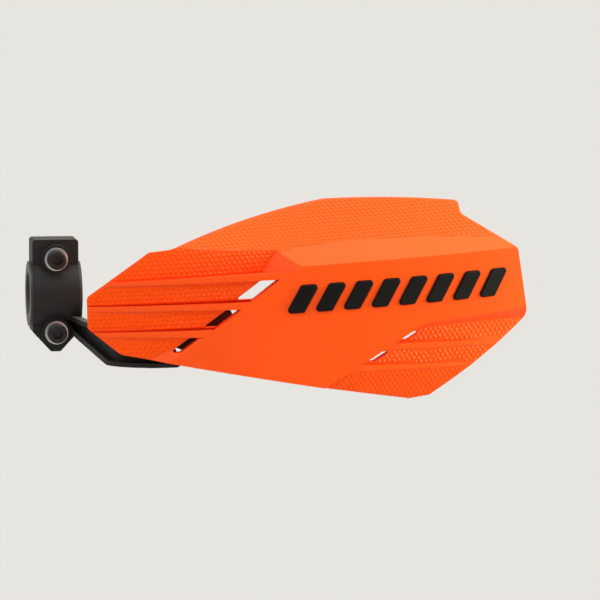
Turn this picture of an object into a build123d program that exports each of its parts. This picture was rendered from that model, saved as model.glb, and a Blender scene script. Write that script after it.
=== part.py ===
from build123d import *
import os
from math import asin, atan, cos, radians, sin, sqrt, tan

# Left-hand motorcycle hand guard: a vented shield on a moulded arm that clamps to the handlebar.
# Millimetres. The origin is the middle of the clamp, on the axis of the bar.
# X runs outboard along the bar, Y to the rear and Z up, so the shield stands at negative Y.

# Handlebar clamp
bar_diameter = 22.2
clamp_bore = 28.6
clamp_width = 24.0
clamp_wall = 4.4
clamp_gap = 1.2
reducer_flange = 1.5
reducer_lip = 2.6
fit_clearance = 0.1
hole_clearance = 0.3

# Clamp bolts, M6
bolt_diameter = 6.0
bolt_head_diameter = 10.0
bolt_head_height = 6.0
bolt_head_edge = 0.6
bolt_socket = 5.0
bolt_socket_depth = 3.0
bolt_land = 1.6
bolt_overhang = 2.0
bolt_washer_diameter = 12.0
bolt_washer_thickness = 1.6
nut_across_flats = 10.0
nut_height = 5.0
nut_pocket_depth = 4.0
bolt_z = clamp_bore / 2 + bolt_land + bolt_diameter / 2 + hole_clearance

# Lugs of the clamp: square at the top, pointed at the foot
lug_thickness = 10.0
lug_margin = 9.8
lug_point = 10.3
lug_point_width = 5.0
lug_corner = 1.5
lug_boss_diameter = 15.0
bolt_boss_rise = 4.0
nut_boss_rise = 2.0
bolt_seat_y = -lug_thickness - bolt_boss_rise
nut_seat_y = lug_thickness + nut_boss_rise - nut_pocket_depth

# Surfaces of the shield
wall = 3.0
panel_radius = 300.0
panel_crown_x = 124.0
panel_crown_y = -95.0
bevel_lean = 56.5
bevel_foot_z = 22.1
bevel_slope = 0.056
flange_radius = 380.0
flange_crown_x = 138.0
flange_setback = 13.5
flange_foot_z = 31.2
flange_lean = 45.0
facet_offset = 16.8
facet_foot_z = 18.8
facet_setback = 9.1
facet_normal = (-0.57, -0.75, 0.33)

# Outline of the shield seen from the front: x, z, corner radius, bulge of the edge that follows
outline_corners = (
    (10.4, 4.8, 3.0, 0.0),
    (41.4, 28.1, 3.0, 0.0),
    (52.8, 29.6, 20.0, 2.3),
    (134.1, 52.9, 14.0, 1.2),
    (204.6, 51.0, 2.0, 0.0),
    (205.0, 45.0, 3.0, 0.0),
    (233.0, 28.0, 4.0, 0.0),
    (238.6, -7.8, 5.0, 1.2),
    (182.4, -49.7, 7.0, 0.0),
    (26.8, -24.1, 8.0, 0.0),
    (10.8, -11.3, 2.0, 0.0),
)

# Inner strips: recessed floors that sink towards the vents and towards their lower edges, with lands
# left standing between them. A land edge is given by its height at land_start and its rise per
# millimetre outboard. The top strip ends above at the foot of the flange, and the strips below it end
# in a groove that turns in behind the land under them.
land_start = 14.0
inner_land_edges = (
    ((12.2, 0.067), (10.4, 0.050)),
    ((0.2, 0.041), (-2.3, 0.028)),
    ((-13.1, 0.040), (-15.3, 0.012)),
)
inner_floor_angle = 1.6
inner_floor_lean = 9.0
inner_floor_hinge = 15.0
inner_floor_depth = 0.3
top_floor_angle = 7.0
top_floor_lean = 4.0
groove_start = 0.5
groove_rise = 0.012
groove_lean = 50.0
groove_depth = 1.0
vent_foot = 87.2
vent_run = 1.28
vent_widths = (8.8, 7.2, 5.2)
vent_sill = 1.2
vent_corner = 0.8
vent_overcut = 0.3
last_vent_inset = 1.8
last_vent_foot = -22.5
ramp_depth = 2.4
ramp_width = 4.2
facet_foot_x = vent_foot + facet_offset
inner_strip_height = inner_land_edges[0][1][0] - inner_land_edges[1][0][0]
inner_floor_drop = inner_floor_depth + inner_strip_height * tan(radians(inner_floor_lean))

# Outer strips: the same idea in mirror image, below a ramp at the edge of the panel
outer_diagonal_foot = 197.0
outer_diagonal_run = 1.633
outer_crease = (-9.6, 0.107)
outer_crease_x = 176.2
outer_land_edges = (
    ((-18.6, -0.012), (-22.1, 0.005)),
    ((-29.5, -0.016), (-32.6, 0.008)),
)
outer_land_start = 150.0
outer_land_angles = (2.9, 4.6)
outer_floor_angle = 1.0
outer_floor_leans = (12.0, 12.0, 26.0)
outer_floor_depths = (0.6, 0.3, 0.3)
outer_ramp_lean = 45.0
outer_vent_widths = (4.2, 4.4)
outer_vent_heads = (3.5, 0.7)
outer_vent_sill = 1.6
outer_vent_corner = 0.6

# Inlay bars
bar_count = 8
bar_first_x = 109.5
bar_last_x = 210.3
bar_gap = 5.0
bar_height = 14.5
bar_slant = 0.55
bar_first_z = -2.6
bar_rise = 0.055
bar_corner = 1.6
bar_seat = 0.8
bar_stand = 1.4
bar_edge = 0.6
bar_pitch = (bar_last_x - bar_first_x) / (bar_count - 1)
bar_width = bar_pitch - bar_gap

# Screws that hold the shield to the arm, M5 from behind
boss_centres = ((44.0, -7.0), (67.0, 8.5), (84.0, -22.0))
boss_diameter = 13.0
boss_setback = 24.0
boss_rib = 2.4
boss_rib_setback = 1.5
insert_diameter = 7.0
insert_length = 7.0
insert_groove = 0.5
screw_diameter = 5.0
screw_end_gap = 1.0
screw_head_diameter = 9.5
screw_head_height = 2.8
screw_head_slope = (1.6, 2.2)
screw_socket = 3.0
screw_socket_depth = 1.8
sleeve_diameter = 8.0
screw_washer_diameter = 13.0
screw_washer_thickness = 1.0
boss_end_y = panel_crown_y + boss_setback

# Moulded arm
arm_thickness = 8.0
arm_bend = 12.0
arm_root = (10.0, -8.0)
arm_elbow = (14.0, -34.0)
arm_turn_x = 27.0
foot_margin = 9.5
beam_corners = (
    (2.0, -9.5),
    (12.0, -11.0),
    (30.0, -16.5),
    (52.0, -14.0),
    (60.0, -31.8),
    (44.0, -32.0),
    (21.0, -31.0),
    (6.0, -18.5),
)
beam_corner = 2.5
beam_rim = 2.4
beam_recess = (-3.9, -1.5)
driver_gap = 1.0
foot_back_y = boss_end_y + arm_thickness

# Reach of the construction blocks beyond the part
reach = 180.0
block_front = -170.0
block_back = 60.0


def polygon(*points):
    """Closed face with straight edges."""
    return make_face(Polyline(*points, close=True))


def round_corner(face, point, radius):
    """Round the corner of a face that lies nearest to a point."""
    return fillet(face.vertices().sort_by_distance(point)[0], radius)


def prism(face, near=block_front, far=block_back):
    """Carry a front-view face, drawn with X to the right and Z up, from one depth to another."""
    return extrude(Plane.XZ.offset(-far) * face, far - near)


def behind_plane(point, normal):
    """Block on the side of a plane that its normal points away from."""
    align = (Align.CENTER, Align.CENTER, Align.MAX)
    return Plane(point, z_dir=normal) * Box(2 * reach, 2 * reach, reach, align=align)


def sag(offset, radius):
    """Depth of an arc at a distance from its crown."""
    return radius - sqrt(radius**2 - offset**2)


def behind_sheet(crown_x, crown_y, height, radius, lean=0.0, slope=0.0, straight_inboard=False):
    """Block behind a sheet that is an arc in plan, leans back as it rises and climbs along X."""
    tilt = atan(slope)
    base = Plane(
        (crown_x, crown_y, height), x_dir=(cos(tilt), 0, sin(tilt)), z_dir=(-sin(tilt), 0, cos(tilt))
    )
    radius = radius / cos(tilt) ** 2
    depth = sag(reach, radius)
    middle = sag(reach / 2, radius)
    outboard = ThreePointArc((0, 0), (reach / 2, middle), (reach, depth))
    inboard = ThreePointArc((-reach, depth), (-reach / 2, middle), (0, 0))
    if straight_inboard:
        inboard = Line((-reach, 0), (0, 0))
    back = Polyline(outboard @ 1, (reach, 2 * reach), (-reach, 2 * reach), inboard @ 0)
    rise = base.y_dir * sin(radians(lean)) + base.z_dir * cos(radians(lean))
    profile = base * make_face([inboard, outboard, back])
    return extrude(profile.moved(Location(rise * -reach)), 2 * reach, dir=rise)


def panel_y(x):
    """Depth of the front of the panel."""
    return panel_crown_y + sag(x - panel_crown_x, panel_radius)


def panel_slope(x):
    """Depth that the panel gains for each length outboard."""
    return (x - panel_crown_x) / sqrt(panel_radius**2 - (x - panel_crown_x) ** 2)


def swing(block, hinge_x, angle):
    """Turn a block about an upright hinge on the front of the panel."""
    return block.rotate(Axis((hinge_x, panel_y(hinge_x), 0), (0, 0, 1)), angle)


def panel_sheet(depth=0.0):
    return behind_sheet(panel_crown_x, panel_crown_y + depth, 0, panel_radius - depth)


def bevel_sheet(depth=0.0):
    back = depth / cos(radians(bevel_lean))
    return behind_sheet(
        panel_crown_x, panel_crown_y + back, bevel_foot_z, panel_radius, bevel_lean, bevel_slope
    )


def flange_sheet(depth=0.0):
    back = depth / cos(radians(flange_lean))
    return behind_sheet(
        flange_crown_x,
        panel_crown_y + flange_setback + back,
        flange_foot_z,
        flange_radius,
        flange_lean,
        straight_inboard=True,
    )


def facet_sheet(depth=0.0):
    foot = (facet_foot_x, panel_crown_y + facet_setback, facet_foot_z)
    inside = [place - depth * part for place, part in zip(foot, facet_normal)]
    return behind_plane(tuple(inside), facet_normal)


def folded_panel(edge, start, lean, depth=0.0):
    """Block behind the panel as if it were folded back below a land edge."""
    height, rise = edge
    middle = height + rise * (panel_crown_x - start)
    back = depth / cos(radians(lean))
    return behind_sheet(panel_crown_x, panel_crown_y + back, middle, panel_radius, -lean, rise)


def top_floor(depth=0.0):
    floor = folded_panel((flange_foot_z, 0.0), land_start, top_floor_lean, depth)
    return swing(floor, inner_floor_hinge, top_floor_angle)


def inner_floor(edge):
    floor = folded_panel(edge, land_start, inner_floor_lean, inner_floor_depth)
    return swing(floor, inner_floor_hinge, inner_floor_angle)


def groove_edge(edge):
    """Upper border of the groove above a land, which widens towards the vents."""
    return (edge[0] + groove_start, edge[1] + groove_rise)


def inner_groove(edge):
    """Foot of an inner strip, turned in behind the land below it."""
    depth = inner_floor_drop * cos(radians(groove_lean))
    floor = folded_panel(groove_edge(edge), land_start, groove_lean, depth)
    return swing(floor, inner_floor_hinge, inner_floor_angle)


def inner_back():
    return swing(panel_sheet(wall + inner_floor_drop + groove_depth), inner_floor_hinge, inner_floor_angle)


def outer_land(index):
    return swing(panel_sheet(), outer_land_start, outer_land_angles[index])


def outer_floor(index, depth=0.0):
    """Floor of an outer strip, folded under the crease or under the land above it."""
    lean = outer_floor_leans[index]
    sunk = depth + outer_floor_depths[index]
    if index == 0:
        end = max(corner[0] for corner in outline_corners)
        return swing(folded_panel(outer_crease, outer_crease_x, lean, sunk), end, -outer_floor_angle)
    foot = outer_land_edges[index - 1][1]
    angle = outer_land_angles[index - 1]
    return swing(folded_panel(foot, outer_land_start, lean, sunk), outer_land_start, angle)


def outer_ramp():
    return folded_panel(outer_crease, outer_crease_x, outer_ramp_lean)


def shield_outline():
    """Front outline of the shield."""
    edges = []
    following = outline_corners[1:] + outline_corners[:1]
    for (x, z, _, bulge), (next_x, next_z, _, _) in zip(outline_corners, following):
        if bulge:
            edges.append(SagittaArc((x, z), (next_x, next_z), bulge))
        else:
            edges.append(Line((x, z), (next_x, next_z)))
    face = make_face(edges)
    for x, z, radius, _ in outline_corners:
        face = round_corner(face, (x, z), radius)
    return face


def crossing(edge, start, foot, run):
    """Point where a land edge meets a slanting line x = foot + run * z."""
    height, rise = edge
    z = (height + rise * (foot - start)) / (1 - rise * run)
    return (foot + run * z, z)


def lifted(edge, amount):
    """Land edge moved up."""
    return (edge[0] + amount, edge[1])


def inner_strip(upper, lower):
    """Front-view face of an inner strip between two land edges, up to the line of the vents."""
    left = -land_start
    points = []
    for edge in (upper, lower):
        points.append((left, edge[0] + edge[1] * (left - land_start)))
        points.append(crossing(edge, land_start, vent_foot, vent_run))
    return polygon(points[0], points[1], points[3], points[2])


def outer_strip(upper, upper_start, lower):
    """Front-view face of an outer strip between two land edges, from the outer diagonal outboard."""
    right = 2 * reach
    top = crossing(upper, upper_start, outer_diagonal_foot, outer_diagonal_run)
    foot = crossing(lower, outer_land_start, outer_diagonal_foot, outer_diagonal_run)
    return polygon(
        top,
        (right, upper[0] + upper[1] * (right - upper_start)),
        (right, lower[0] + lower[1] * (right - outer_land_start)),
        foot,
    )


def slot(upper, upper_start, lower, lower_start, foot, run, width, corner):
    """Front-view face of a slanting vent of a given width along X."""
    face = polygon(
        crossing(upper, upper_start, foot, run),
        crossing(upper, upper_start, foot + width, run),
        crossing(lower, lower_start, foot + width, run),
        crossing(lower, lower_start, foot, run),
    )
    return fillet(face.vertices(), corner)


def bar_middle(index):
    """Front-view middle of one inlay bar."""
    x = bar_first_x + index * bar_pitch + (bar_width + bar_slant * bar_height) / 2
    z = bar_first_z + bar_height / 2 + bar_rise * (x - bar_first_x)
    return x, z


def bar_block(index, height, growth=0.0):
    """Slab of one inlay bar, square to the panel, from the floor of its seat to a height above it."""
    x, z = bar_middle(index)
    turn = asin((x - panel_crown_x) / panel_radius)
    base = Plane((x, panel_y(x), z), x_dir=(cos(turn), sin(turn), 0), z_dir=(sin(turn), -cos(turn), 0))
    lean = bar_slant * bar_height / 2
    climb = bar_rise * bar_width / 2
    face = polygon(
        (-bar_width / 2 - lean, -bar_height / 2 - climb),
        (bar_width / 2 - lean, -bar_height / 2 + climb),
        (bar_width / 2 + lean, bar_height / 2 + climb),
        (-bar_width / 2 + lean, bar_height / 2 - climb),
    )
    face = fillet(face.vertices(), bar_corner)
    if growth:
        face = offset(face, growth)
    return extrude(base.offset(-bar_seat) * face, bar_seat + height)


def above_edge(edge):
    """Everything above a line through a land edge."""
    left_z = edge[0] - 2 * land_start * edge[1]
    right_z = edge[0] + edge[1] * (reach - land_start)
    return prism(polygon((-land_start, left_z), (reach, right_z), (reach, reach), (-land_start, reach)))


def shield_front():
    """Block behind everything that shows from the front: panel, bevel, flange and sunk strips."""
    upper = panel_sheet() & (bevel_sheet() + flange_sheet())
    top_strip = above_edge(inner_land_edges[0][0]) - facet_sheet()
    front = (upper - top_strip) + (top_floor() & flange_sheet() & top_strip)

    lowest = min(corner[1] for corner in outline_corners)
    for (_, upper_edge), (lower_edge, _) in zip(inner_land_edges, inner_land_edges[1:]):
        front -= prism(inner_strip(upper_edge, lower_edge)) - inner_floor(upper_edge)
        front -= prism(inner_strip(groove_edge(lower_edge), lower_edge)) - inner_groove(lower_edge)
    last_edge = inner_land_edges[-1][1]
    foot_x, foot_z = crossing(last_edge, land_start, vent_foot, vent_run)
    across = sqrt(1 + vent_run**2)
    ramp_turn = panel_slope(foot_x) * ramp_width - ramp_depth / across
    ramp_normal = (ramp_turn, -ramp_width, ramp_depth * vent_run / across)
    ramp = behind_plane((foot_x, panel_y(foot_x), foot_z), ramp_normal)
    front -= prism(inner_strip(last_edge, (lowest, 0.0))) - (inner_floor(last_edge) + ramp)

    ramp = outer_ramp()
    (first_top, first_foot), (second_top, second_foot) = outer_land_edges
    first_land = outer_strip(outer_crease, outer_crease_x, (lowest, 0.0))
    second_land = outer_strip(second_top, outer_land_start, (lowest, 0.0))
    front -= prism(first_land) - (outer_land(0) + ramp)
    front -= prism(second_land) - outer_land(1)
    front -= prism(outer_strip(outer_crease, outer_crease_x, first_top)) - (outer_floor(0) + ramp)
    front -= prism(outer_strip(first_foot, outer_land_start, second_top)) - outer_floor(1)
    return front - (prism(outer_strip(second_foot, outer_land_start, (lowest, 0.0))) - outer_floor(2))


def shield_back():
    """Block behind the inner side of the shield, one wall behind the front."""
    upper = panel_sheet(wall) & (bevel_sheet(wall) + flange_sheet(wall))
    left = vent_foot + wall * sqrt(1 + vent_run**2)
    right = outer_diagonal_foot - wall * sqrt(1 + outer_diagonal_run**2)
    corner = crossing(outer_crease, outer_crease_x, right, outer_diagonal_run)
    end_x = 2 * reach
    end_z = outer_crease[0] + outer_crease[1] * (end_x - outer_crease_x)
    low = -reach / 2
    low_point = (right + outer_diagonal_run * low, low)
    panel_cavity = polygon(
        (left + vent_run * low, low),
        (left - vent_run * low, -low),
        (end_x, -low),
        (end_x, end_z),
        corner,
        low_point,
    )
    panel_back = upper & prism(panel_cavity) & facet_sheet(wall)
    outer_cavity = polygon(low_point, corner, (end_x, end_z), (end_x, low))
    outer_back = outer_floor(0, wall) & outer_floor(1, wall) & outer_floor(2, wall) & prism(outer_cavity)
    top_back = top_floor(wall) & flange_sheet(wall)
    low_back = inner_back() & flange_sheet(wall)
    low_back -= above_edge(lifted(inner_land_edges[0][0], -wall))
    return panel_back + top_back + low_back + outer_back


def shield_vents():
    """Open slots at the foot of the strips."""
    edges = [edge for land in inner_land_edges for edge in land]
    cuts = []
    for upper, lower, width in zip(edges[1::2], edges[2::2], vent_widths):
        cuts.append(slot(upper, land_start, lifted(lower, vent_sill), land_start,
                         vent_foot + vent_overcut - width, vent_run, width, vent_corner))
    cuts.append(slot(edges[-1], land_start, (last_vent_foot, 0.0), land_start,
                     vent_foot - last_vent_inset - vent_widths[-1], vent_run, vent_widths[-1],
                     vent_corner))
    (first_top, first_foot), (second_top, _) = outer_land_edges
    pairs = ((outer_crease, outer_crease_x, first_top), (first_foot, outer_land_start, second_top))
    for (upper, start, lower), width, head in zip(pairs, outer_vent_widths, outer_vent_heads):
        cuts.append(slot(lifted(upper, -head), start, lifted(lower, outer_vent_sill),
                         outer_land_start, outer_diagonal_foot - vent_overcut, outer_diagonal_run, width,
                         outer_vent_corner))
    return cuts


def rod(centre, diameter, near, far):
    """Cylinder along Y between two depths."""
    return prism(Pos(*centre) * Circle(diameter / 2), near, far)


def hexagon(centre, across_flats, near, far):
    """Hexagonal bar along Y between two depths."""
    return prism(Pos(*centre) * RegularPolygon(across_flats / 2, 6, major_radius=False), near, far)


def make_shield():
    """Orange moulding with its bosses, vents and inlay seats."""
    front = shield_front() & prism(shield_outline())
    shell = front - shield_back()
    for centre in boss_centres:
        shell += front & rod(centre, boss_diameter, block_front, boss_end_y)
    rib = trace(Line(*boss_centres[:2]), boss_rib)
    shell += front & prism(rib, block_front, boss_end_y - boss_rib_setback)
    for cut in shield_vents():
        shell -= prism(cut)
    for centre in boss_centres:
        bore = insert_diameter + 2 * fit_clearance
        shell -= rod(centre, bore, boss_end_y - insert_length, boss_end_y)
    for index in range(bar_count):
        shell -= bar_block(index, bar_stand, fit_clearance)
    return shell


def make_inlay_bars():
    """Raised bars that stand in their seats in the panel."""
    bars = []
    for index in range(bar_count):
        bar = bar_block(index, bar_stand)
        bars.append(chamfer(bar.faces().sort_by(Axis.Y)[0].edges(), bar_edge))
    return Compound(children=bars)


def bolt_places():
    """Front-view centres of the two clamp bolts, above and below the bar."""
    return [(0.0, bolt_z), (0.0, -bolt_z)]


def bolt_holes():
    """Clearance holes for the clamp bolts."""
    diameter = bolt_diameter + 2 * hole_clearance
    return [rod(centre, diameter, block_front, block_back) for centre in bolt_places()]


def along_bar(radius, start, end):
    """Cylinder on the axis of the bar."""
    return extrude(Plane.YZ.offset(start) * Circle(radius), end - start)


def clamp_half(side, boss_rise):
    """One half of the bar clamp: a saddle round the bar with a lug above and below."""
    half_width = clamp_width / 2
    half_point = lug_point_width / 2
    face = polygon(
        (-half_width, bolt_z + lug_margin),
        (half_width, bolt_z + lug_margin),
        (half_width, -bolt_z),
        (half_point, -bolt_z - lug_point),
        (-half_point, -bolt_z - lug_point),
        (-half_width, -bolt_z),
    )
    face = fillet(face.vertices(), lug_corner)
    split = side * clamp_gap / 2
    half = prism(face, *sorted((split, side * lug_thickness)))
    for centre in bolt_places():
        boss = rod(centre, lug_boss_diameter, *sorted((split, side * (lug_thickness + boss_rise))))
        half += boss & prism(face)
    half += along_bar(clamp_bore / 2 + clamp_wall, -half_width, half_width) & half_space(side)
    half -= along_bar(clamp_bore / 2, -clamp_width, clamp_width)
    return half - bolt_holes()


def half_space(side):
    """Everything on one side of the clamp's split."""
    return Pos(0, side * (reach + clamp_gap) / 2, 0) * Box(2 * reach, reach, 2 * reach)


def arm_path(shift=(0.0, 0.0)):
    """Middle line of the arm seen from above, from the clamp to the end of its foot."""
    foot_y = boss_end_y + arm_thickness / 2
    end_x = max(x for x, _ in boss_centres) + 2 * foot_margin
    points = (arm_root, arm_elbow, (arm_turn_x, foot_y), (end_x, foot_y))
    return FilletPolyline(*[(x + shift[0], y + shift[1]) for x, y in points], radius=arm_bend)


def arm_band(shift=(0.0, 0.0)):
    """Block that holds the arm's thickness along its path."""
    band = trace(arm_path(shift), arm_thickness)
    return extrude(Pos(0, 0, -reach) * band, 2 * reach)


def make_mount_arm():
    """Black moulding: front half of the clamp, channel beam and screw foot."""
    beam = fillet(polygon(*beam_corners).vertices(), beam_corner)
    circles = [Pos(*centre) * Circle(foot_margin) for centre in boss_centres]
    foot = make_hull([edge for circle in circles for edge in circle.edges()])
    arm = prism(beam + foot) & arm_band()
    arm -= prism(offset(beam, -beam_rim)) & arm_band(beam_recess)
    driver = bolt_washer_diameter + 2 * driver_gap
    arm -= rod(bolt_places()[1], driver, block_front, bolt_seat_y)
    arm -= along_bar(clamp_bore / 2 + reducer_lip + hole_clearance, clamp_width / 2, reach)
    arm += clamp_half(-1, bolt_boss_rise)
    arm -= along_bar(clamp_bore / 2, -clamp_width, clamp_width)
    for centre in boss_centres:
        arm -= rod(centre, sleeve_diameter + 2 * fit_clearance, block_front, block_back)
    return arm - bolt_holes()


def make_clamp_cap():
    """Rear half of the clamp, with pockets that hold the nuts."""
    cap = clamp_half(1, nut_boss_rise)
    for centre in bolt_places():
        cap -= hexagon(centre, nut_across_flats + 2 * fit_clearance, nut_seat_y, block_back)
    return cap


def make_reducer(side):
    """Half shell that brings the clamp down to the bar, with a lip at each end."""
    half_width = clamp_width / 2
    end = half_width + reducer_flange
    sleeve = along_bar(clamp_bore / 2 - fit_clearance, -end, end)
    sleeve += along_bar(clamp_bore / 2 + reducer_lip, -end, -half_width)
    sleeve += along_bar(clamp_bore / 2 + reducer_lip, half_width, end)
    return (sleeve - along_bar(bar_diameter / 2, -end, end)) & half_space(side)


def make_clamp_bolts():
    """Socket-head bolts from the front."""
    seat = bolt_seat_y - bolt_washer_thickness
    top = seat - bolt_head_height
    end = nut_seat_y + nut_height + bolt_overhang
    bolts = []
    for centre in bolt_places():
        head = rod(centre, bolt_head_diameter, top, seat)
        head = chamfer(head.edges().sort_by(Axis.Y)[0], bolt_head_edge)
        bolt = head + rod(centre, bolt_diameter, seat, end)
        bolts.append(bolt - hexagon(centre, bolt_socket, top, top + bolt_socket_depth))
    return Compound(children=bolts)


def make_clamp_washers():
    """Washers under the bolt heads."""
    washers = []
    for centre in bolt_places():
        disc = rod(centre, bolt_washer_diameter, bolt_seat_y - bolt_washer_thickness, bolt_seat_y)
        washers.append(disc - bolt_holes())
    return Compound(children=washers)


def make_clamp_nuts():
    """Hexagon nuts held in the cap."""
    hole = bolt_diameter + 2 * fit_clearance
    nuts = []
    for centre in bolt_places():
        nut = hexagon(centre, nut_across_flats, nut_seat_y, nut_seat_y + nut_height)
        nuts.append(nut - rod(centre, hole, block_front, block_back))
    return Compound(children=nuts)


def make_thread_inserts():
    """Grooved brass inserts moulded into the bosses."""
    start = boss_end_y - insert_length
    middle = boss_end_y - insert_length / 2
    hole = screw_diameter + 2 * fit_clearance
    inserts = []
    for centre in boss_centres:
        insert = rod(centre, insert_diameter, start, middle - insert_groove)
        insert += rod(centre, insert_diameter, middle + insert_groove, boss_end_y)
        insert += rod(centre, insert_diameter - 2 * insert_groove, start, boss_end_y)
        inserts.append(insert - rod(centre, hole, start, boss_end_y))
    return Compound(children=inserts)


def screw_rings(diameter, near, far):
    """Rings round the shield screws, with clearance for the shanks."""
    hole = screw_diameter + 2 * hole_clearance
    rings = [rod(centre, diameter, near, far) - rod(centre, hole, near, far) for centre in boss_centres]
    return Compound(children=rings)


def make_crush_sleeves():
    """Steel sleeves that carry the screw load through the foot."""
    return screw_rings(sleeve_diameter, boss_end_y, foot_back_y)


def make_screw_washers():
    """Washers between the screw heads and the sleeves."""
    return screw_rings(screw_washer_diameter, foot_back_y, foot_back_y + screw_washer_thickness)


def make_shield_screws():
    """Button-head screws from behind, through the foot into the inserts."""
    seat = foot_back_y + screw_washer_thickness
    top = seat + screw_head_height
    end = boss_end_y - insert_length + screw_end_gap
    screws = []
    for centre in boss_centres:
        head = rod(centre, screw_head_diameter, seat, top)
        head = chamfer(head.edges().sort_by(Axis.Y)[-1], screw_head_slope[0], screw_head_slope[1])
        screw = head + rod(centre, screw_diameter, end, seat)
        screws.append(screw - hexagon(centre, screw_socket, top - screw_socket_depth, top))
    return Compound(children=screws)


def main():
    nodes = {
        "guard_shield": make_shield(),
        "inlay_bars": make_inlay_bars(),
        "mount_arm": make_mount_arm(),
        "clamp_cap": make_clamp_cap(),
        "reducer_front": make_reducer(-1),
        "reducer_rear": make_reducer(1),
        "clamp_bolts": make_clamp_bolts(),
        "clamp_washers": make_clamp_washers(),
        "clamp_nuts": make_clamp_nuts(),
        "thread_inserts": make_thread_inserts(),
        "crush_sleeves": make_crush_sleeves(),
        "screw_washers": make_screw_washers(),
        "shield_screws": make_shield_screws(),
    }
    os.makedirs("parts", exist_ok=True)
    for name, shape in nodes.items():
        export_step(shape, f"parts/{name}.step")


main()
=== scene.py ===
"""Looks of a left-hand motorcycle hand guard: finishes, moulded-in grip texture and a plain studio."""

import math
from typing import NamedTuple

import bpy
from bpy.props import FloatProperty, FloatVectorProperty, PointerProperty
from mathutils import Matrix, Vector
from mathutils.bvhtree import BVHTree
from mathutils.kdtree import KDTree


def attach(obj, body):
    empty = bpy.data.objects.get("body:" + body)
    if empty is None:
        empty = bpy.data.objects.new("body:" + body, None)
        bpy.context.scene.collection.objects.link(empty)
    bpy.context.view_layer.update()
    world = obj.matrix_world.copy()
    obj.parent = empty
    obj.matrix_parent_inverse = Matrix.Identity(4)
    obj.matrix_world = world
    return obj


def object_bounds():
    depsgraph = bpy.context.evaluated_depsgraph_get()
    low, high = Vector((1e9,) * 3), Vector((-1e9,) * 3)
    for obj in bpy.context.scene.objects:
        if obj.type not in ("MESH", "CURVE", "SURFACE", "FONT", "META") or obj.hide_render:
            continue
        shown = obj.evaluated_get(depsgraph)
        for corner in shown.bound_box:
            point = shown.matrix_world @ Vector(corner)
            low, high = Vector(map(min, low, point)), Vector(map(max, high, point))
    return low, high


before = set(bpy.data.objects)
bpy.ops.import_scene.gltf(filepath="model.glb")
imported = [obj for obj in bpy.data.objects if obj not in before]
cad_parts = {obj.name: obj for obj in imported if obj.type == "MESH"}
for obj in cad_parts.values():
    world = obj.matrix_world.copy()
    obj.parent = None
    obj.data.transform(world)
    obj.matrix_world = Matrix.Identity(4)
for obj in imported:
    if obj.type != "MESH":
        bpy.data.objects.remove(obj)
cad_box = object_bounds()

bl_info = {
    "name": "Hand Guard Looks",
    "version": (1, 0, 0),
    "blender": (4, 5, 0),
    "location": "3D View > Sidebar > Hand Guard",
    "description": "Gives a hand guard its finishes, grip texture and studio",
    "category": "Object",
}

BODY = "root"
MM = 0.001

# The front view looks along +Y, from a place well ahead of the guard.
FRONT_VIEW = Vector((0.0, 1.0, 0.0))
FRONT_START = -1.0

# Corners of the shield's loose triangles are one place when they agree to this many decimals of a metre.
PLACE_DIGITS = 6

# Neighbouring triangles that turn by less than this are one moulded face.
FACE_TURN = math.radians(3.0)

# Spacing of the places that stand for a face's border.
BORDER_STEP = 0.25 * MM

# Rows and columns by which a net of texture is larger than its face.
SPARE_ROWS = 2

# Normals of a field's outer triangles have less Y than this.
OUTER_FACING = -0.2

# Normals' Y while the shield's wall turns from its front to its edge, and from its edge to its back.
FRONT_TO_EDGE = (-0.35, -0.1)
EDGE_TO_BACK = (0.65, 0.85)

# Share of painted shade that darkens the wall's edge, and roughness that it gains there.
EDGE_PAINTED_SHADE = 0.6
EDGE_ROUGHNESS = 0.35

# Painted shade in recesses: how far off a facing wall still counts, and the openness at which the painted
# shade is darkest.
PAINTED_SHADE_REACH = 1.6 * MM
PAINTED_SHADE_CLOSED = 0.05

# Rays that feel out a recess for its painted shade, and a soft edge.
PAINTED_SHADE_SAMPLES = 8
EDGE_SAMPLES = 6

# Bands of directions over which light comes up: the ceiling's by height, a lamp's by how nearly they point
# at it, and the pale backdrop's by how far they point to the rear.
CEILING_BAND = (0.4, 0.95)
LAMP_BAND = (0.74, 0.81)
BACKDROP_BAND = (-0.1, 0.2)

# Side of the floor and reach of the camera, in metres.
FLOOR_SIZE = 200.0
CAMERA_REACH = 500.0

# A Mix node has sockets for each kind of data, and these are the numbers of those for colours.
MIX_FACTOR = 0
MIX_FIRST = 6
MIX_SECOND = 7
MIX_RESULT = 2


class OrangeSurface(NamedTuple):
    """Look of one kind of orange surface.

    Its share of the full colour is painted light where above one, gloss its specular level, edge the
    softness of its edges, and the last number the openness below which painted shade darkens its hollows.
    """

    name: str
    tone: float
    gloss: float
    edge: float
    painted_shade_openness: float


SMOOTH_ORANGE = OrangeSurface("orange_moulding", tone=1.0, gloss=0.2, edge=0.35 * MM, painted_shade_openness=0.75)
FLANGE_ORANGE = OrangeSurface("orange_flange_grip", tone=1.0, gloss=0.13, edge=0.06 * MM, painted_shade_openness=0.36)
# Painted light: the strips take a tenth more of the orange, so they are lighter than the rest of the shield.
STRIP_ORANGE = OrangeSurface("orange_strip_grip", tone=1.1, gloss=0.12, edge=0.06 * MM, painted_shade_openness=0.36)


class LandTop(NamedTuple):
    """Top edge of a smooth land in the front view.

    height is where it stands at x 0, in millimetres, and rise what it gains for each length outboard.
    """

    height: float
    rise: float


class TextureField(NamedTuple):
    """Field of grip texture in the front view.

    points, x and z in millimetres, lie one in each moulded face that the field covers. lean is how far it
    leans back from upright in degrees, swell multiplies the height of its pyramids, and land is the smooth
    land below a field that runs out level with it.
    """

    points: tuple
    lean: float
    swell: float
    surface: OrangeSurface = STRIP_ORANGE
    land: LandTop | None = None


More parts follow.
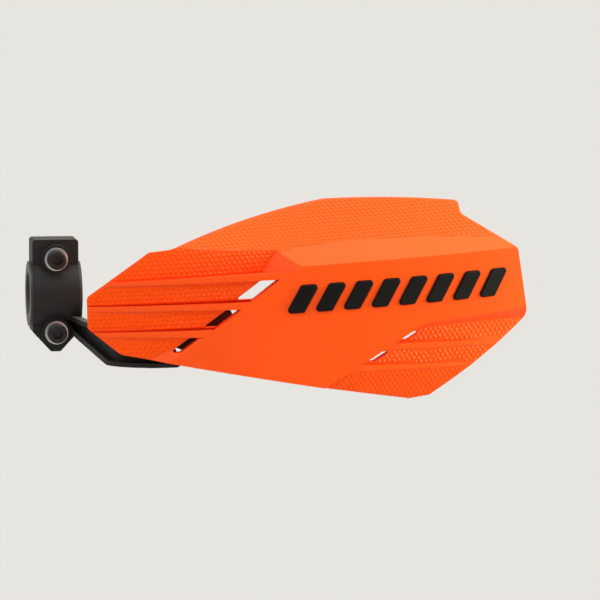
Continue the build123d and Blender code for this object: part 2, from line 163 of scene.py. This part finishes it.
TEXTURE_FIELDS = {
    "texture_flange": TextureField(((150.0, 44.0),), lean=45.0, swell=0.6, surface=FLANGE_ORANGE),
    "texture_inner_top": TextureField(((70.0, 22.0),), lean=-4.0, swell=1.1),
    "texture_inner_upper": TextureField(((60.0, 6.0),), lean=-9.0, swell=1.4),
    "texture_inner_lower": TextureField(((50.0, -8.0),), lean=-9.0, swell=1.4),
    "texture_inner_foot": TextureField(((45.0, -20.0),), lean=-9.0, swell=1.2),
    "texture_outer_top": TextureField(
        ((193.0, -15.2), (212.0, -14.0)), lean=-8.0, swell=1.0, land=LandTop(height=-16.4, rise=-0.012)
    ),
    "texture_outer_middle": TextureField(((195.0, -26.0),), lean=-12.0, swell=1.0),
    "texture_outer_foot": TextureField(((180.0, -40.0),), lean=-26.0, swell=0.7),
}


class GuardTexture(bpy.types.PropertyGroup):
    """Grip texture: rows of small three-sided pyramids on the recessed faces."""

    pitch: FloatProperty(
        name="Pitch", description="Side of one pyramid's base", default=2.59 * MM, unit="LENGTH"
    )
    height: FloatProperty(
        name="Height", description="Rise of a pyramid as a share of its base's radius", default=0.34
    )
    margin: FloatProperty(
        name="Margin", description="Smooth border left inside each face", default=0.25 * MM, unit="LENGTH"
    )
    reach: FloatProperty(
        name="Reach", description="Least way from a pyramid's middle to the border", default=0.6 * MM,
        unit="LENGTH",
    )
    rise: FloatProperty(
        name="Row rise", description="Height gained by a row for each length outboard", default=0.063
    )
    root: FloatProperty(
        name="Root", description="Depth of the texture below its base", default=0.2 * MM, unit="LENGTH"
    )
    lift: FloatProperty(
        name="Lift", description="Height of a pyramid's base above the face", default=0.04 * MM,
        unit="LENGTH",
    )


class GuardFinish(bpy.types.PropertyGroup):
    """Colours of the moulded and metal finishes, and of the shade painted into the shield's grooves."""

    orange: FloatVectorProperty(
        name="Orange", description="Moulded shield", default=(0.93, 0.0765, 0.001), subtype="COLOR"
    )
    # Painted shade: the deep red that the shield takes in its grooves, corners and on the wall's edge.
    painted_crease_shade: FloatVectorProperty(
        name="Crease", description="Shield in its grooves and corners", default=(0.80, 0.042, 0.0007),
        subtype="COLOR",
    )
    rubber: FloatVectorProperty(
        name="Rubber", description="Raised inlay bars", default=(0.0036, 0.003, 0.0026), subtype="COLOR"
    )
    nylon: FloatVectorProperty(
        name="Nylon", description="Arm and clamp", default=(0.009, 0.0085, 0.008), subtype="COLOR"
    )
    sleeve: FloatVectorProperty(
        name="Sleeve plastic", description="Bar reducers", default=(0.035, 0.034, 0.033), subtype="COLOR"
    )
    black_steel: FloatVectorProperty(
        name="Black steel", description="Bolts and screws", default=(0.045, 0.043, 0.042), subtype="COLOR"
    )
    zinc: FloatVectorProperty(
        name="Zinc", description="Washers, nuts and sleeves", default=(0.62, 0.62, 0.60), subtype="COLOR"
    )
    brass: FloatVectorProperty(
        name="Brass", description="Thread inserts", default=(0.74, 0.52, 0.22), subtype="COLOR"
    )


class GuardStudio(bpy.types.PropertyGroup):
    """Camera, light and floor."""

    azimuth: FloatProperty(
        name="Azimuth", description="Camera turn about the upright axis", default=math.radians(-8.0),
        subtype="ANGLE",
    )
    elevation: FloatProperty(
        name="Elevation", description="Camera height above level", default=math.radians(6.0),
        subtype="ANGLE",
    )
    distance: FloatProperty(
        name="Distance", description="From camera to guard", default=2.8, unit="LENGTH"
    )
    span: FloatProperty(
        name="Span", description="Width of the picture at the guard", default=0.3072, unit="LENGTH"
    )
    aim: FloatVectorProperty(
        name="Aim", description="Middle of the picture: right, up and away from the clamp",
        default=(0.12877, -0.00358, -0.060), unit="LENGTH",
    )
    floor_drop: FloatProperty(
        name="Floor drop", description="Floor below the clamp", default=1.2, unit="LENGTH"
    )
    backdrop: FloatVectorProperty(
        name="Backdrop", description="Pale studio colour", default=(0.745, 0.74, 0.70), subtype="COLOR"
    )
    floor: FloatVectorProperty(
        name="Floor", description="Floor colour, pale once it is lit", default=(0.288, 0.294, 0.316),
        subtype="COLOR",
    )
    fill: FloatProperty(name="Fill", description="Light from all round", default=0.24)
    ceiling: FloatProperty(name="Ceiling", description="Light from above", default=2.55)
    window: FloatProperty(name="Window", description="Light from the outboard side", default=18.0)
    window_azimuth: FloatProperty(
        name="Window azimuth", description="Turn of the window from the front", default=math.radians(104.0),
        subtype="ANGLE",
    )
    window_elevation: FloatProperty(
        name="Window elevation", description="Height of the window", default=math.radians(4.0),
        subtype="ANGLE",
    )
    window_tint: FloatVectorProperty(
        name="Window tint", description="Colour of the window's light", default=(1.0, 0.92, 0.68),
        subtype="COLOR",
    )
    gloss_share: FloatProperty(
        name="Gloss share", description="Part of the window and the side light that gloss shows",
        default=0.2, subtype="FACTOR",
    )
    side: FloatProperty(name="Side", description="Light from the inboard side", default=1.5)
    side_azimuth: FloatProperty(
        name="Side azimuth", description="Turn of the side light from the front",
        default=math.radians(-50.0), subtype="ANGLE",
    )
    side_elevation: FloatProperty(
        name="Side elevation", description="Height of the side light", default=math.radians(12.0),
        subtype="ANGLE",
    )


# Shader nodes

class Wire:
    """A shader socket that takes part in plain arithmetic."""

    def __init__(self, graph, socket):
        self.graph = graph
        self.socket = socket

    def __add__(self, other):
        return self.graph.maths("ADD", self, other)

    def __radd__(self, other):
        return self.graph.maths("ADD", other, self)

    def __sub__(self, other):
        return self.graph.maths("SUBTRACT", self, other)

    def __rsub__(self, other):
        return self.graph.maths("SUBTRACT", other, self)

    def __mul__(self, other):
        return self.graph.maths("MULTIPLY", self, other)

    def __rmul__(self, other):
        return self.graph.maths("MULTIPLY", other, self)


class Graph:
    """Node tree of a material or a world, emptied and ready to be filled."""

    def __init__(self, owner):
        owner.use_nodes = True
        self.tree = owner.node_tree
        self.tree.nodes.clear()

    def node(self, kind, settings=None, inputs=None):
        """Add a node, set it up and fill its sockets with values or links."""
        made = self.tree.nodes.new(kind)
        for name, value in (settings or {}).items():
            setattr(made, name, value)
        for name, value in (inputs or {}).items():
            if isinstance(value, Wire):
                self.tree.links.new(value.socket, made.inputs[name])
            else:
                made.inputs[name].default_value = value
        return made

    def wire(self, kind, output, settings=None, inputs=None):
        """Add a node and take one of its outputs."""
        return Wire(self, self.node(kind, settings, inputs).outputs[output])

    def maths(self, operation, first, second):
        """Result of a sum on two values."""
        return self.wire("ShaderNodeMath", "Value", {"operation": operation}, {0: first, 1: second})

    def blend(self, factor, first, second):
        """Colour between two colours."""
        inputs = {MIX_FACTOR: factor, MIX_FIRST: first, MIX_SECOND: second}
        return self.wire("ShaderNodeMix", MIX_RESULT, {"data_type": "RGBA"}, inputs)

    def mottle(self, mask, colour, low, high):
        """Colour that goes from a low share of itself to a high one as a mask does."""
        return self.blend(mask, shaded(colour, low), shaded(colour, high))

    def smooth(self, value, low, high):
        """Nought below low, one above high and a soft step between."""
        settings = {"interpolation_type": "SMOOTHSTEP"}
        return self.wire(
            "ShaderNodeMapRange", "Result", settings, {"Value": value, "From Min": low, "From Max": high}
        )

    def noise(self, place, scale, detail, roughness=0.5):
        """Cloudy mask, with its scale in clouds for each metre."""
        inputs = {"Vector": place, "Scale": scale, "Detail": detail, "Roughness": roughness}
        return self.wire("ShaderNodeTexNoise", "Fac", None, inputs)

    def place(self):
        """Place on the piece, in metres."""
        return self.wire("ShaderNodeTexCoord", "Object")

    def parts(self, vector, axes):
        """Numbers of a vector along the named axes."""
        split = self.node("ShaderNodeSeparateXYZ", None, {"Vector": vector})
        return [Wire(self, split.outputs[axis]) for axis in axes]


def shaded(colour, share=1.0):
    """Opaque colour, made darker or lighter by a share."""
    return tuple(min(1.0, part * share) for part in colour) + (1.0,)


# Finishes

def new_material(name):
    """Material with an empty node tree."""
    material = bpy.data.materials.new(name)
    return material, Graph(material)


def finish_surface(graph, inputs):
    """Close a material with its surface shader."""
    shader = graph.wire("ShaderNodeBsdfPrincipled", "BSDF", None, inputs)
    graph.node("ShaderNodeOutputMaterial", None, {"Surface": shader})


def rounded_bump(graph, height, strength, distance, radius):
    """Normal with softened edges and a fine relief."""
    edge = graph.wire("ShaderNodeBevel", "Normal", {"samples": EDGE_SAMPLES}, {"Radius": radius})
    inputs = {"Height": height, "Strength": strength, "Distance": distance, "Normal": edge}
    return graph.wire("ShaderNodeBump", "Normal", None, inputs)


def wall_edge(graph):
    """One on the edges across the wall, which face neither the front nor the back, and nought elsewhere."""
    y = graph.parts(graph.wire("ShaderNodeNewGeometry", "Normal"), "Y")[0]
    return graph.smooth(y, *FRONT_TO_EDGE) * (1.0 - graph.smooth(y, *EDGE_TO_BACK))


def orange_moulding(finish, surface):
    """Satin moulding with a fine grain and soft edges; painted shade in hollows and on the wall's edge."""
    material, graph = new_material(surface.name)
    place = graph.place()
    grain = graph.noise(place, scale=1500.0, detail=4.0, roughness=0.6)
    cloud = graph.noise(place, scale=18.0, detail=2.0)
    # The cloud is the moulding's own uneven tone; a share above one makes the whole colour lighter as
    # painted light.
    colour = graph.mottle(cloud, finish.orange, low=0.97 * surface.tone, high=1.03 * surface.tone)
    # Painted shade: where ambient occlusion finds a nearby wall, the orange darkens to a deeper red.
    painted_crease_shade = shaded(finish.painted_crease_shade)
    openness = graph.wire(
        "ShaderNodeAmbientOcclusion", "AO", {"samples": PAINTED_SHADE_SAMPLES}, {"Distance": PAINTED_SHADE_REACH}
    )
    colour = graph.blend(graph.smooth(openness, PAINTED_SHADE_CLOSED, surface.painted_shade_openness), painted_crease_shade, colour)
    rim = wall_edge(graph)
    # Painted shade: the wall's edge also takes some of that deeper red, and grows rougher there.
    finish_surface(graph, {
        "Base Color": graph.blend(EDGE_PAINTED_SHADE * rim, colour, painted_crease_shade),
        "Roughness": 0.31 + 0.10 * grain + EDGE_ROUGHNESS * rim,
        "Specular IOR Level": surface.gloss,
        "Normal": rounded_bump(graph, grain, strength=0.22, distance=0.05 * MM, radius=surface.edge),
    })
    return material


def inlay_rubber(finish):
    """Matt black rubber."""
    material, graph = new_material("inlay_rubber")
    grain = graph.noise(graph.place(), scale=2200.0, detail=3.0, roughness=0.6)
    finish_surface(graph, {
        "Base Color": graph.mottle(grain, finish.rubber, low=0.8, high=1.3),
        "Roughness": 0.48 + 0.16 * grain,
        "Specular IOR Level": 0.13,
        "Normal": rounded_bump(graph, grain, strength=0.15, distance=0.04 * MM, radius=0.3 * MM),
    })
    return material


def grained_nylon(finish):
    """Black glass-filled nylon with a sparked mould grain."""
    material, graph = new_material("grained_nylon")
    place = graph.place()
    grain = graph.noise(place, scale=1300.0, detail=5.0, roughness=0.65)
    flow = graph.noise(place, scale=40.0, detail=3.0)
    finish_surface(graph, {
        "Base Color": graph.mottle(flow, finish.nylon, low=0.75, high=1.5),
        "Roughness": 0.46 + 0.20 * grain,
        "Specular IOR Level": 0.3,
        "Normal": rounded_bump(graph, grain, strength=0.35, distance=0.08 * MM, radius=0.4 * MM),
    })
    return material


def sleeve_plastic(finish):
    """Plain dark grey moulding of the bar reducers."""
    material, graph = new_material("sleeve_plastic")
    grain = graph.noise(graph.place(), scale=900.0, detail=3.0)
    finish_surface(graph, {
        "Base Color": graph.mottle(grain, finish.sleeve, low=0.8, high=1.25),
        "Roughness": 0.40 + 0.15 * grain,
        "Normal": rounded_bump(graph, grain, strength=0.12, distance=0.05 * MM, radius=0.3 * MM),
    })
    return material


def metal(name, colour, roughness, scale):
    """Metal with a fine grain and a little uneven tarnish."""
    material, graph = new_material(name)
    place = graph.place()
    fine = graph.noise(place, scale, detail=4.0, roughness=0.6)
    patch = graph.noise(place, scale=120.0, detail=3.0)
    finish_surface(graph, {
        "Base Color": graph.mottle(patch, colour, low=0.85, high=1.1),
        "Metallic": 1.0,
        "Roughness": roughness + 0.16 * (fine - 0.5),
        "Normal": rounded_bump(graph, fine, strength=0.08, distance=0.03 * MM, radius=0.2 * MM),
    })
    return material


def dress(material, *nodes):
    """Give frame nodes their finish."""
    for name in nodes:
        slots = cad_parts[name].data.materials
        slots.clear()
        slots.append(material)


# Grip texture

def start_clean():
    """Leave edit mode and select nothing."""
    if bpy.context.object and bpy.context.object.mode != "OBJECT":
        bpy.ops.object.mode_set(mode="OBJECT")
    bpy.ops.object.select_all(action="DESELECT")


def edit_chosen(piece, kind, chosen):
    """Enter edit mode with only the chosen vertices or faces of a piece selected."""
    bpy.context.tool_settings.mesh_select_mode = (kind == "VERT", False, kind == "FACE")
    data = piece.data
    for elements in (data.vertices, data.edges, data.polygons):
        elements.foreach_set("select", [False] * len(elements))
    for element in data.vertices if kind == "VERT" else data.polygons:
        element.select = chosen(element)
    bpy.ops.object.mode_set(mode="EDIT")


def moulded_face(corners, polygons, start):
    """Numbers of the polygons in the smooth face round one of them: neighbours that hardly turn."""
    users = {}
    for polygon in polygons:
        for vertex in polygon.vertices:
            users.setdefault(corners[vertex], []).append(polygon)
    found = {start}
    waiting = [polygons[start]]
    while waiting:
        polygon = waiting.pop()
        for vertex in polygon.vertices:
            for other in users[corners[vertex]]:
                if other.index not in found and polygon.normal.angle(other.normal) < FACE_TURN:
                    found.add(other.index)
                    waiting.append(other)
    return found


def border_places(corners, polygons):
    """Closely spaced places along the edges that only one of the polygons has."""
    counts = {}
    for polygon in polygons:
        for first, second in polygon.edge_keys:
            key = frozenset((corners[first], corners[second]))
            counts[key] = counts.get(key, 0) + 1
    places = []
    for key, count in counts.items():
        if count == 1 and len(key) == 2:
            start, end = (Vector(corner) for corner in key)
            steps = max(1, math.ceil((end - start).length / BORDER_STEP))
            places.extend(start.lerp(end, step / steps) for step in range(steps + 1))
    return places


class FacePatch:
    """Moulded faces of the shield that one field covers: what lies on them, how far from their border."""

    def __init__(self, shield, field):
        mesh = shield.data
        places = [vertex.co.copy() for vertex in mesh.vertices]
        corners = [tuple(round(part, PLACE_DIGITS) for part in place) for place in places]
        found = set()
        for x, z in field.points:
            hit, _, _, index = shield.ray_cast(Vector((x * MM, FRONT_START, z * MM)), FRONT_VIEW)
            if not hit:
                raise RuntimeError(f"no shield face at x {x:.1f}, z {z:.1f}")
            found |= moulded_face(corners, mesh.polygons, index)
        polygons = [mesh.polygons[index] for index in sorted(found)]
        self.land = field.land
        self.faces = BVHTree.FromPolygons(places, [tuple(polygon.vertices) for polygon in polygons])
        self.border = border_places(corners, polygons)
        self.nearest = KDTree(len(self.border))
        for number, place in enumerate(self.border):
            self.nearest.insert(self.flat(place), number)
        self.nearest.balance()

    @staticmethod
    def flat(point):
        """A point as it is seen from the front."""
        return Vector((point.x, 0.0, point.z))

    def above_land(self, point):
        """Height of a point above the smooth land below, without limit where there is none."""
        if self.land is None:
            return math.inf
        return point.z - self.land.height * MM - self.land.rise * point.x

    def inset(self, point):
        """How far inside the border a point lies, seen from the front: nought off the face."""
        place, _, _, _ = self.faces.ray_cast(Vector((point.x, FRONT_START, point.z)), FRONT_VIEW)
        if place is None:
            return 0.0
        _, _, from_border = self.nearest.find(self.flat(point))
        return min(from_border, max(0.0, self.above_land(point)))

    def drawn_in(self, point, middle, margin):
        """The border's nearest place to a point, moved in towards a middle until it lies on the face."""
        edge, _, _ = self.nearest.find(self.flat(point))
        if self.above_land(point) < margin:
            edge = self.flat(point) - Vector((0.0, 0.0, self.above_land(point)))
        way = self.flat(middle) - edge
        step = way.normalized() * margin
        place = edge + step
        while self.inset(place) < margin / 2 and (place - edge).length < way.length:
            place += step
        return place


def add_net(name, columns, rows, pitch, row):
    """Flat net of equal triangles, with every other row half a triangle out of step."""
    bpy.ops.mesh.primitive_grid_add(x_subdivisions=columns, y_subdivisions=rows, size=1.0)
    pad = bpy.context.object
    pad.name = name
    pad.data.name = name
    bpy.ops.object.mode_set(mode="EDIT")
    bpy.ops.transform.resize(value=(columns * pitch, rows * row, 1.0))
    bpy.ops.object.mode_set(mode="OBJECT")
    edit_chosen(pad, "VERT", lambda vertex: round(vertex.co.y / row + rows / 2) % 2 == 1)
    bpy.ops.transform.translate(value=(pitch / 2, 0.0, 0.0))
    bpy.ops.mesh.select_all(action="SELECT")
    bpy.ops.mesh.quads_convert_to_tris(quad_method="SHORTEST_DIAGONAL")
    bpy.ops.object.mode_set(mode="OBJECT")
    return pad


def lean_net(pad, middle, lean, rise):
    """Put a net's middle at a place, with its rows rising outboard and its outer side leaning back."""
    across = Vector((1.0, 0.0, rise)).normalized()
    outward = Vector((0.0, -math.cos(lean), math.sin(lean)))
    outward = (outward - across * outward.dot(across)).normalized()
    turned = Matrix((across, outward.cross(across), outward)).transposed().to_4x4()
    pad.matrix_world = Matrix.Translation(middle) @ turned
    bpy.ops.object.transform_apply(location=True, rotation=True, scale=True)


def net_over(name, patch, lean, texture):
    """Net of triangles in front of a face, a little larger than it."""
    low_x = min(place.x for place in patch.border)
    high_x = max(place.x for place in patch.border)
    low_z = min(place.z for place in patch.border)
    high_z = max(place.z for place in patch.border)
    row = texture.pitch * math.sqrt(3) / 2
    drop = texture.rise * (high_x - low_x)
    columns = math.ceil((high_x - low_x) / texture.pitch) + SPARE_ROWS
    rows = math.ceil((high_z - low_z + 2 * drop) / (row * math.cos(lean))) + SPARE_ROWS
    pad = add_net(name, columns, rows, texture.pitch, row)
    middle = Vector(((low_x + high_x) / 2, cad_box[0].y, (low_z + high_z) / 2))
    lean_net(pad, middle, lean, texture.rise)
    return pad


def trim_net(pad, patch, texture):
    """Keep the triangles whose middle lies on the face, and draw their corners in from its border."""
    edit_chosen(pad, "FACE", lambda polygon: patch.inset(polygon.center) < texture.reach)
    bpy.ops.mesh.delete(type="FACE")
    bpy.ops.mesh.select_all(action="SELECT")
    bpy.ops.mesh.delete_loose()
    bpy.ops.object.mode_set(mode="OBJECT")
    if not pad.data.polygons:
        raise RuntimeError(f"{pad.name} has no room on its face")
    middles = {}
    for polygon in pad.data.polygons:
        for vertex in polygon.vertices:
            middles.setdefault(vertex, []).append(polygon.center.copy())
    for vertex in pad.data.vertices:
        if patch.inset(vertex.co) < texture.margin:
            around = middles[vertex.index]
            place = patch.drawn_in(vertex.co, sum(around, Vector()) / len(around), texture.margin)
            vertex.co.x, vertex.co.z = place.x, place.z


def lay_on_shield(pad, shield, texture):
    """Push the net onto the shield and root it in the wall."""
    wrap = pad.modifiers.new("Onto shield", "SHRINKWRAP")
    wrap.target = shield
    wrap.wrap_method = "PROJECT"
    wrap.wrap_mode = "ABOVE_SURFACE"
    wrap.use_project_y = True
    wrap.offset = texture.lift
    bpy.ops.object.modifier_apply(modifier=wrap.name)
    wall = pad.modifiers.new("Root", "SOLIDIFY")
    wall.thickness = texture.root
    wall.offset = -1.0
    bpy.ops.object.modifier_apply(modifier=wall.name)


def raise_pyramids(pad, height):
    """Pull the middle of each outer triangle that stands on its base out to a point."""
    places = [vertex.co.copy() for vertex in pad.data.vertices]

    def stands(polygon):
        above = [places[vertex].z > polygon.center.z for vertex in polygon.vertices]
        return polygon.normal.y < OUTER_FACING and above.count(True) == 1

    edit_chosen(pad, "FACE", stands)
    bpy.ops.mesh.poke(offset=height, use_relative_offset=True)
    bpy.ops.object.mode_set(mode="OBJECT")


# Studio

def seen_directly(graph):
    """Rays that show the studio itself: one for the camera's, one for those off gloss or through glass."""
    path = graph.node("ShaderNodeLightPath")
    outputs = ("Is Camera Ray", "Is Glossy Ray", "Is Transmission Ray")
    camera, glossy, through = (Wire(graph, path.outputs[name]) for name in outputs)
    return camera, glossy + through


def add_floor(studio):
    """Wide pale floor below the guard."""
    start_clean()
    bpy.ops.mesh.primitive_plane_add(size=FLOOR_SIZE, location=(0.0, 0.0, -studio.floor_drop))
    floor = bpy.context.object
    floor.name = "floor"
    material, graph = new_material("pale_floor")
    cloud = graph.noise(graph.place(), scale=0.4, detail=2.0)
    pale = graph.mottle(cloud, studio.floor, low=0.99, high=1.01)
    shown = graph.wire("ShaderNodeBsdfDiffuse", "BSDF", None, {"Color": pale})
    graph.node("ShaderNodeOutputMaterial", None, {"Surface": shown})
    floor.data.materials.append(material)


def way_to(turn, height):
    """Direction of a place all round the guard, by its turn from the front and its height above level."""
    return Vector((math.sin(turn) * math.cos(height), -math.cos(turn) * math.cos(height), math.sin(height)))


def facing(graph, direction, turn, height):
    """How nearly a direction points at a place all round the guard, one when it does."""
    settings = {"operation": "DOT_PRODUCT"}
    return graph.wire("ShaderNodeVectorMath", "Value", settings, {0: direction, 1: way_to(turn, height)})


def light_world(studio):
    """Soft dome of light: dim all round, brighter above and inboard, with a warm window outboard."""
    world = bpy.data.worlds.new("studio")
    bpy.context.scene.world = world
    graph = Graph(world)
    direction = graph.wire("ShaderNodeTexCoord", "Generated")
    y, z = graph.parts(direction, "YZ")
    side = facing(graph, direction, studio.side_azimuth, studio.side_elevation)
    window = facing(graph, direction, studio.window_azimuth, studio.window_elevation)
    camera, mirrored = seen_directly(graph)
    shown = 1.0 - (1.0 - studio.gloss_share) * mirrored
    strength = studio.fill + studio.ceiling * graph.smooth(z, *CEILING_BAND)
    strength = strength + studio.side * graph.smooth(side, *LAMP_BAND) * shown
    dome = graph.wire("ShaderNodeBackground", "Background", None, {"Strength": strength})
    inputs = {
        "Color": shaded(studio.window_tint),
        "Strength": studio.window * graph.smooth(window, *LAMP_BAND) * shown,
    }
    glow = graph.wire("ShaderNodeBackground", "Background", None, inputs)
    lit = graph.wire("ShaderNodeAddShader", 0, None, {0: dome, 1: glow})
    pale = graph.wire("ShaderNodeBackground", "Background", None, {"Color": shaded(studio.backdrop)})
    behind = graph.smooth(y, *BACKDROP_BAND)
    mixed = graph.wire("ShaderNodeMixShader", 0, None, {0: camera + mirrored * behind, 1: lit, 2: pale})
    graph.node("ShaderNodeOutputWorld", None, {"Surface": mixed})


def add_camera(studio):
    """Long lens in front of the guard, a little inboard of it and above it."""
    right = Vector((math.cos(studio.azimuth), math.sin(studio.azimuth), 0.0))
    away = -way_to(studio.azimuth, studio.elevation)
    up = right.cross(away)
    aim = right * studio.aim[0] + up * studio.aim[1] + away * studio.aim[2]
    data = bpy.data.cameras.new("camera")
    camera = bpy.data.objects.new("camera", data)
    bpy.context.scene.collection.objects.link(camera)
    data.lens = data.sensor_width * studio.distance / studio.span
    data.clip_end = CAMERA_REACH
    camera.location = aim - away * studio.distance
    camera.rotation_euler = Matrix((right, up, -away)).transposed().to_euler()
    bpy.context.scene.camera = camera


# Operators and their panel

class HANDGUARD_OT_shield(bpy.types.Operator):
    """Give the moulded shield its orange finish"""

    bl_idname = "handguard.shield"
    bl_label = "Shield"

    def execute(self, context):
        dress(orange_moulding(context.scene.guard_finish, SMOOTH_ORANGE), "guard_shield")
        return {"FINISHED"}


class HANDGUARD_OT_texture(bpy.types.Operator):
    """Lay the grip texture on the flange and the recessed strips"""

    bl_idname = "handguard.texture"
    bl_label = "Grip texture"

    def execute(self, context):
        texture = context.scene.guard_texture
        finish = context.scene.guard_finish
        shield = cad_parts["guard_shield"]
        oranges = {surface: orange_moulding(finish, surface) for surface in (FLANGE_ORANGE, STRIP_ORANGE)}
        for name, field in TEXTURE_FIELDS.items():
            start_clean()
            patch = FacePatch(shield, field)
            pad = net_over(name, patch, math.radians(field.lean), texture)
            trim_net(pad, patch, texture)
            lay_on_shield(pad, shield, texture)
            raise_pyramids(pad, texture.height * field.swell)
            pad.data.materials.append(oranges[field.surface])
            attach(pad, BODY)
        start_clean()
        return {"FINISHED"}


class HANDGUARD_OT_inlay(bpy.types.Operator):
    """Give the raised inlay bars their rubber finish"""

    bl_idname = "handguard.inlay"
    bl_label = "Inlay bars"

    def execute(self, context):
        dress(inlay_rubber(context.scene.guard_finish), "inlay_bars")
        return {"FINISHED"}


class HANDGUARD_OT_mount(bpy.types.Operator):
    """Give the arm, the clamp and its reducers their moulded finishes"""

    bl_idname = "handguard.mount"
    bl_label = "Arm and clamp"

    def execute(self, context):
        finish = context.scene.guard_finish
        dress(grained_nylon(finish), "mount_arm", "clamp_cap")
        dress(sleeve_plastic(finish), "reducer_front", "reducer_rear")
        return {"FINISHED"}


class HANDGUARD_OT_fasteners(bpy.types.Operator):
    """Give bolts, screws, nuts, washers, sleeves and inserts their metals"""

    bl_idname = "handguard.fasteners"
    bl_label = "Fasteners"

    def execute(self, context):
        finish = context.scene.guard_finish
        black = metal("black_steel", finish.black_steel, roughness=0.42, scale=1500.0)
        dress(black, "clamp_bolts", "shield_screws")
        zinc = metal("zinc_steel", finish.zinc, roughness=0.34, scale=1200.0)
        dress(zinc, "clamp_washers", "clamp_nuts", "crush_sleeves", "screw_washers")
        brass = metal("insert_brass", finish.brass, roughness=0.36, scale=1200.0)
        dress(brass, "thread_inserts")
        return {"FINISHED"}


class HANDGUARD_OT_studio(bpy.types.Operator):
    """Set up the camera, the soft light and the pale floor"""

    bl_idname = "handguard.studio"
    bl_label = "Studio"

    def execute(self, context):
        studio = context.scene.guard_studio
        add_floor(studio)
        light_world(studio)
        add_camera(studio)
        context.scene.view_settings.view_transform = "Standard"
        return {"FINISHED"}


class HANDGUARD_PT_panel(bpy.types.Panel):
    """Sidebar list of the guard's pieces and their settings"""

    bl_idname = "HANDGUARD_PT_panel"
    bl_label = "Hand Guard"
    bl_space_type = "VIEW_3D"
    bl_region_type = "UI"
    bl_category = "Hand Guard"

    def draw(self, context):
        """List the operators, then each group's settings in a box."""
        for operator in OPERATORS:
            self.layout.operator(operator.bl_idname)
        for name in GROUPS:
            settings = getattr(context.scene, name)
            box = self.layout.box()
            for key in settings.bl_rna.properties.keys():
                if key not in ("rna_type", "name"):
                    box.prop(settings, key)


GROUPS = {"guard_texture": GuardTexture, "guard_finish": GuardFinish, "guard_studio": GuardStudio}
OPERATORS = (
    HANDGUARD_OT_shield,
    HANDGUARD_OT_texture,
    HANDGUARD_OT_inlay,
    HANDGUARD_OT_mount,
    HANDGUARD_OT_fasteners,
    HANDGUARD_OT_studio,
)
CLASSES = (*GROUPS.values(), *OPERATORS, HANDGUARD_PT_panel)


def register():
    """Add the classes, and the groups of settings to every scene."""
    for item in CLASSES:
        bpy.utils.register_class(item)
    for name, group in GROUPS.items():
        setattr(bpy.types.Scene, name, PointerProperty(type=group))


def unregister():
    """Take out what register adds."""
    for name in GROUPS:
        delattr(bpy.types.Scene, name)
    for item in reversed(CLASSES):
        bpy.utils.unregister_class(item)


def main():
    """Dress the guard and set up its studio."""
    register()
    bpy.ops.handguard.shield()
    bpy.ops.handguard.texture()
    bpy.ops.handguard.inlay()
    bpy.ops.handguard.mount()
    bpy.ops.handguard.fasteners()
    bpy.ops.handguard.studio()


if __name__ == "__main__":
    main()
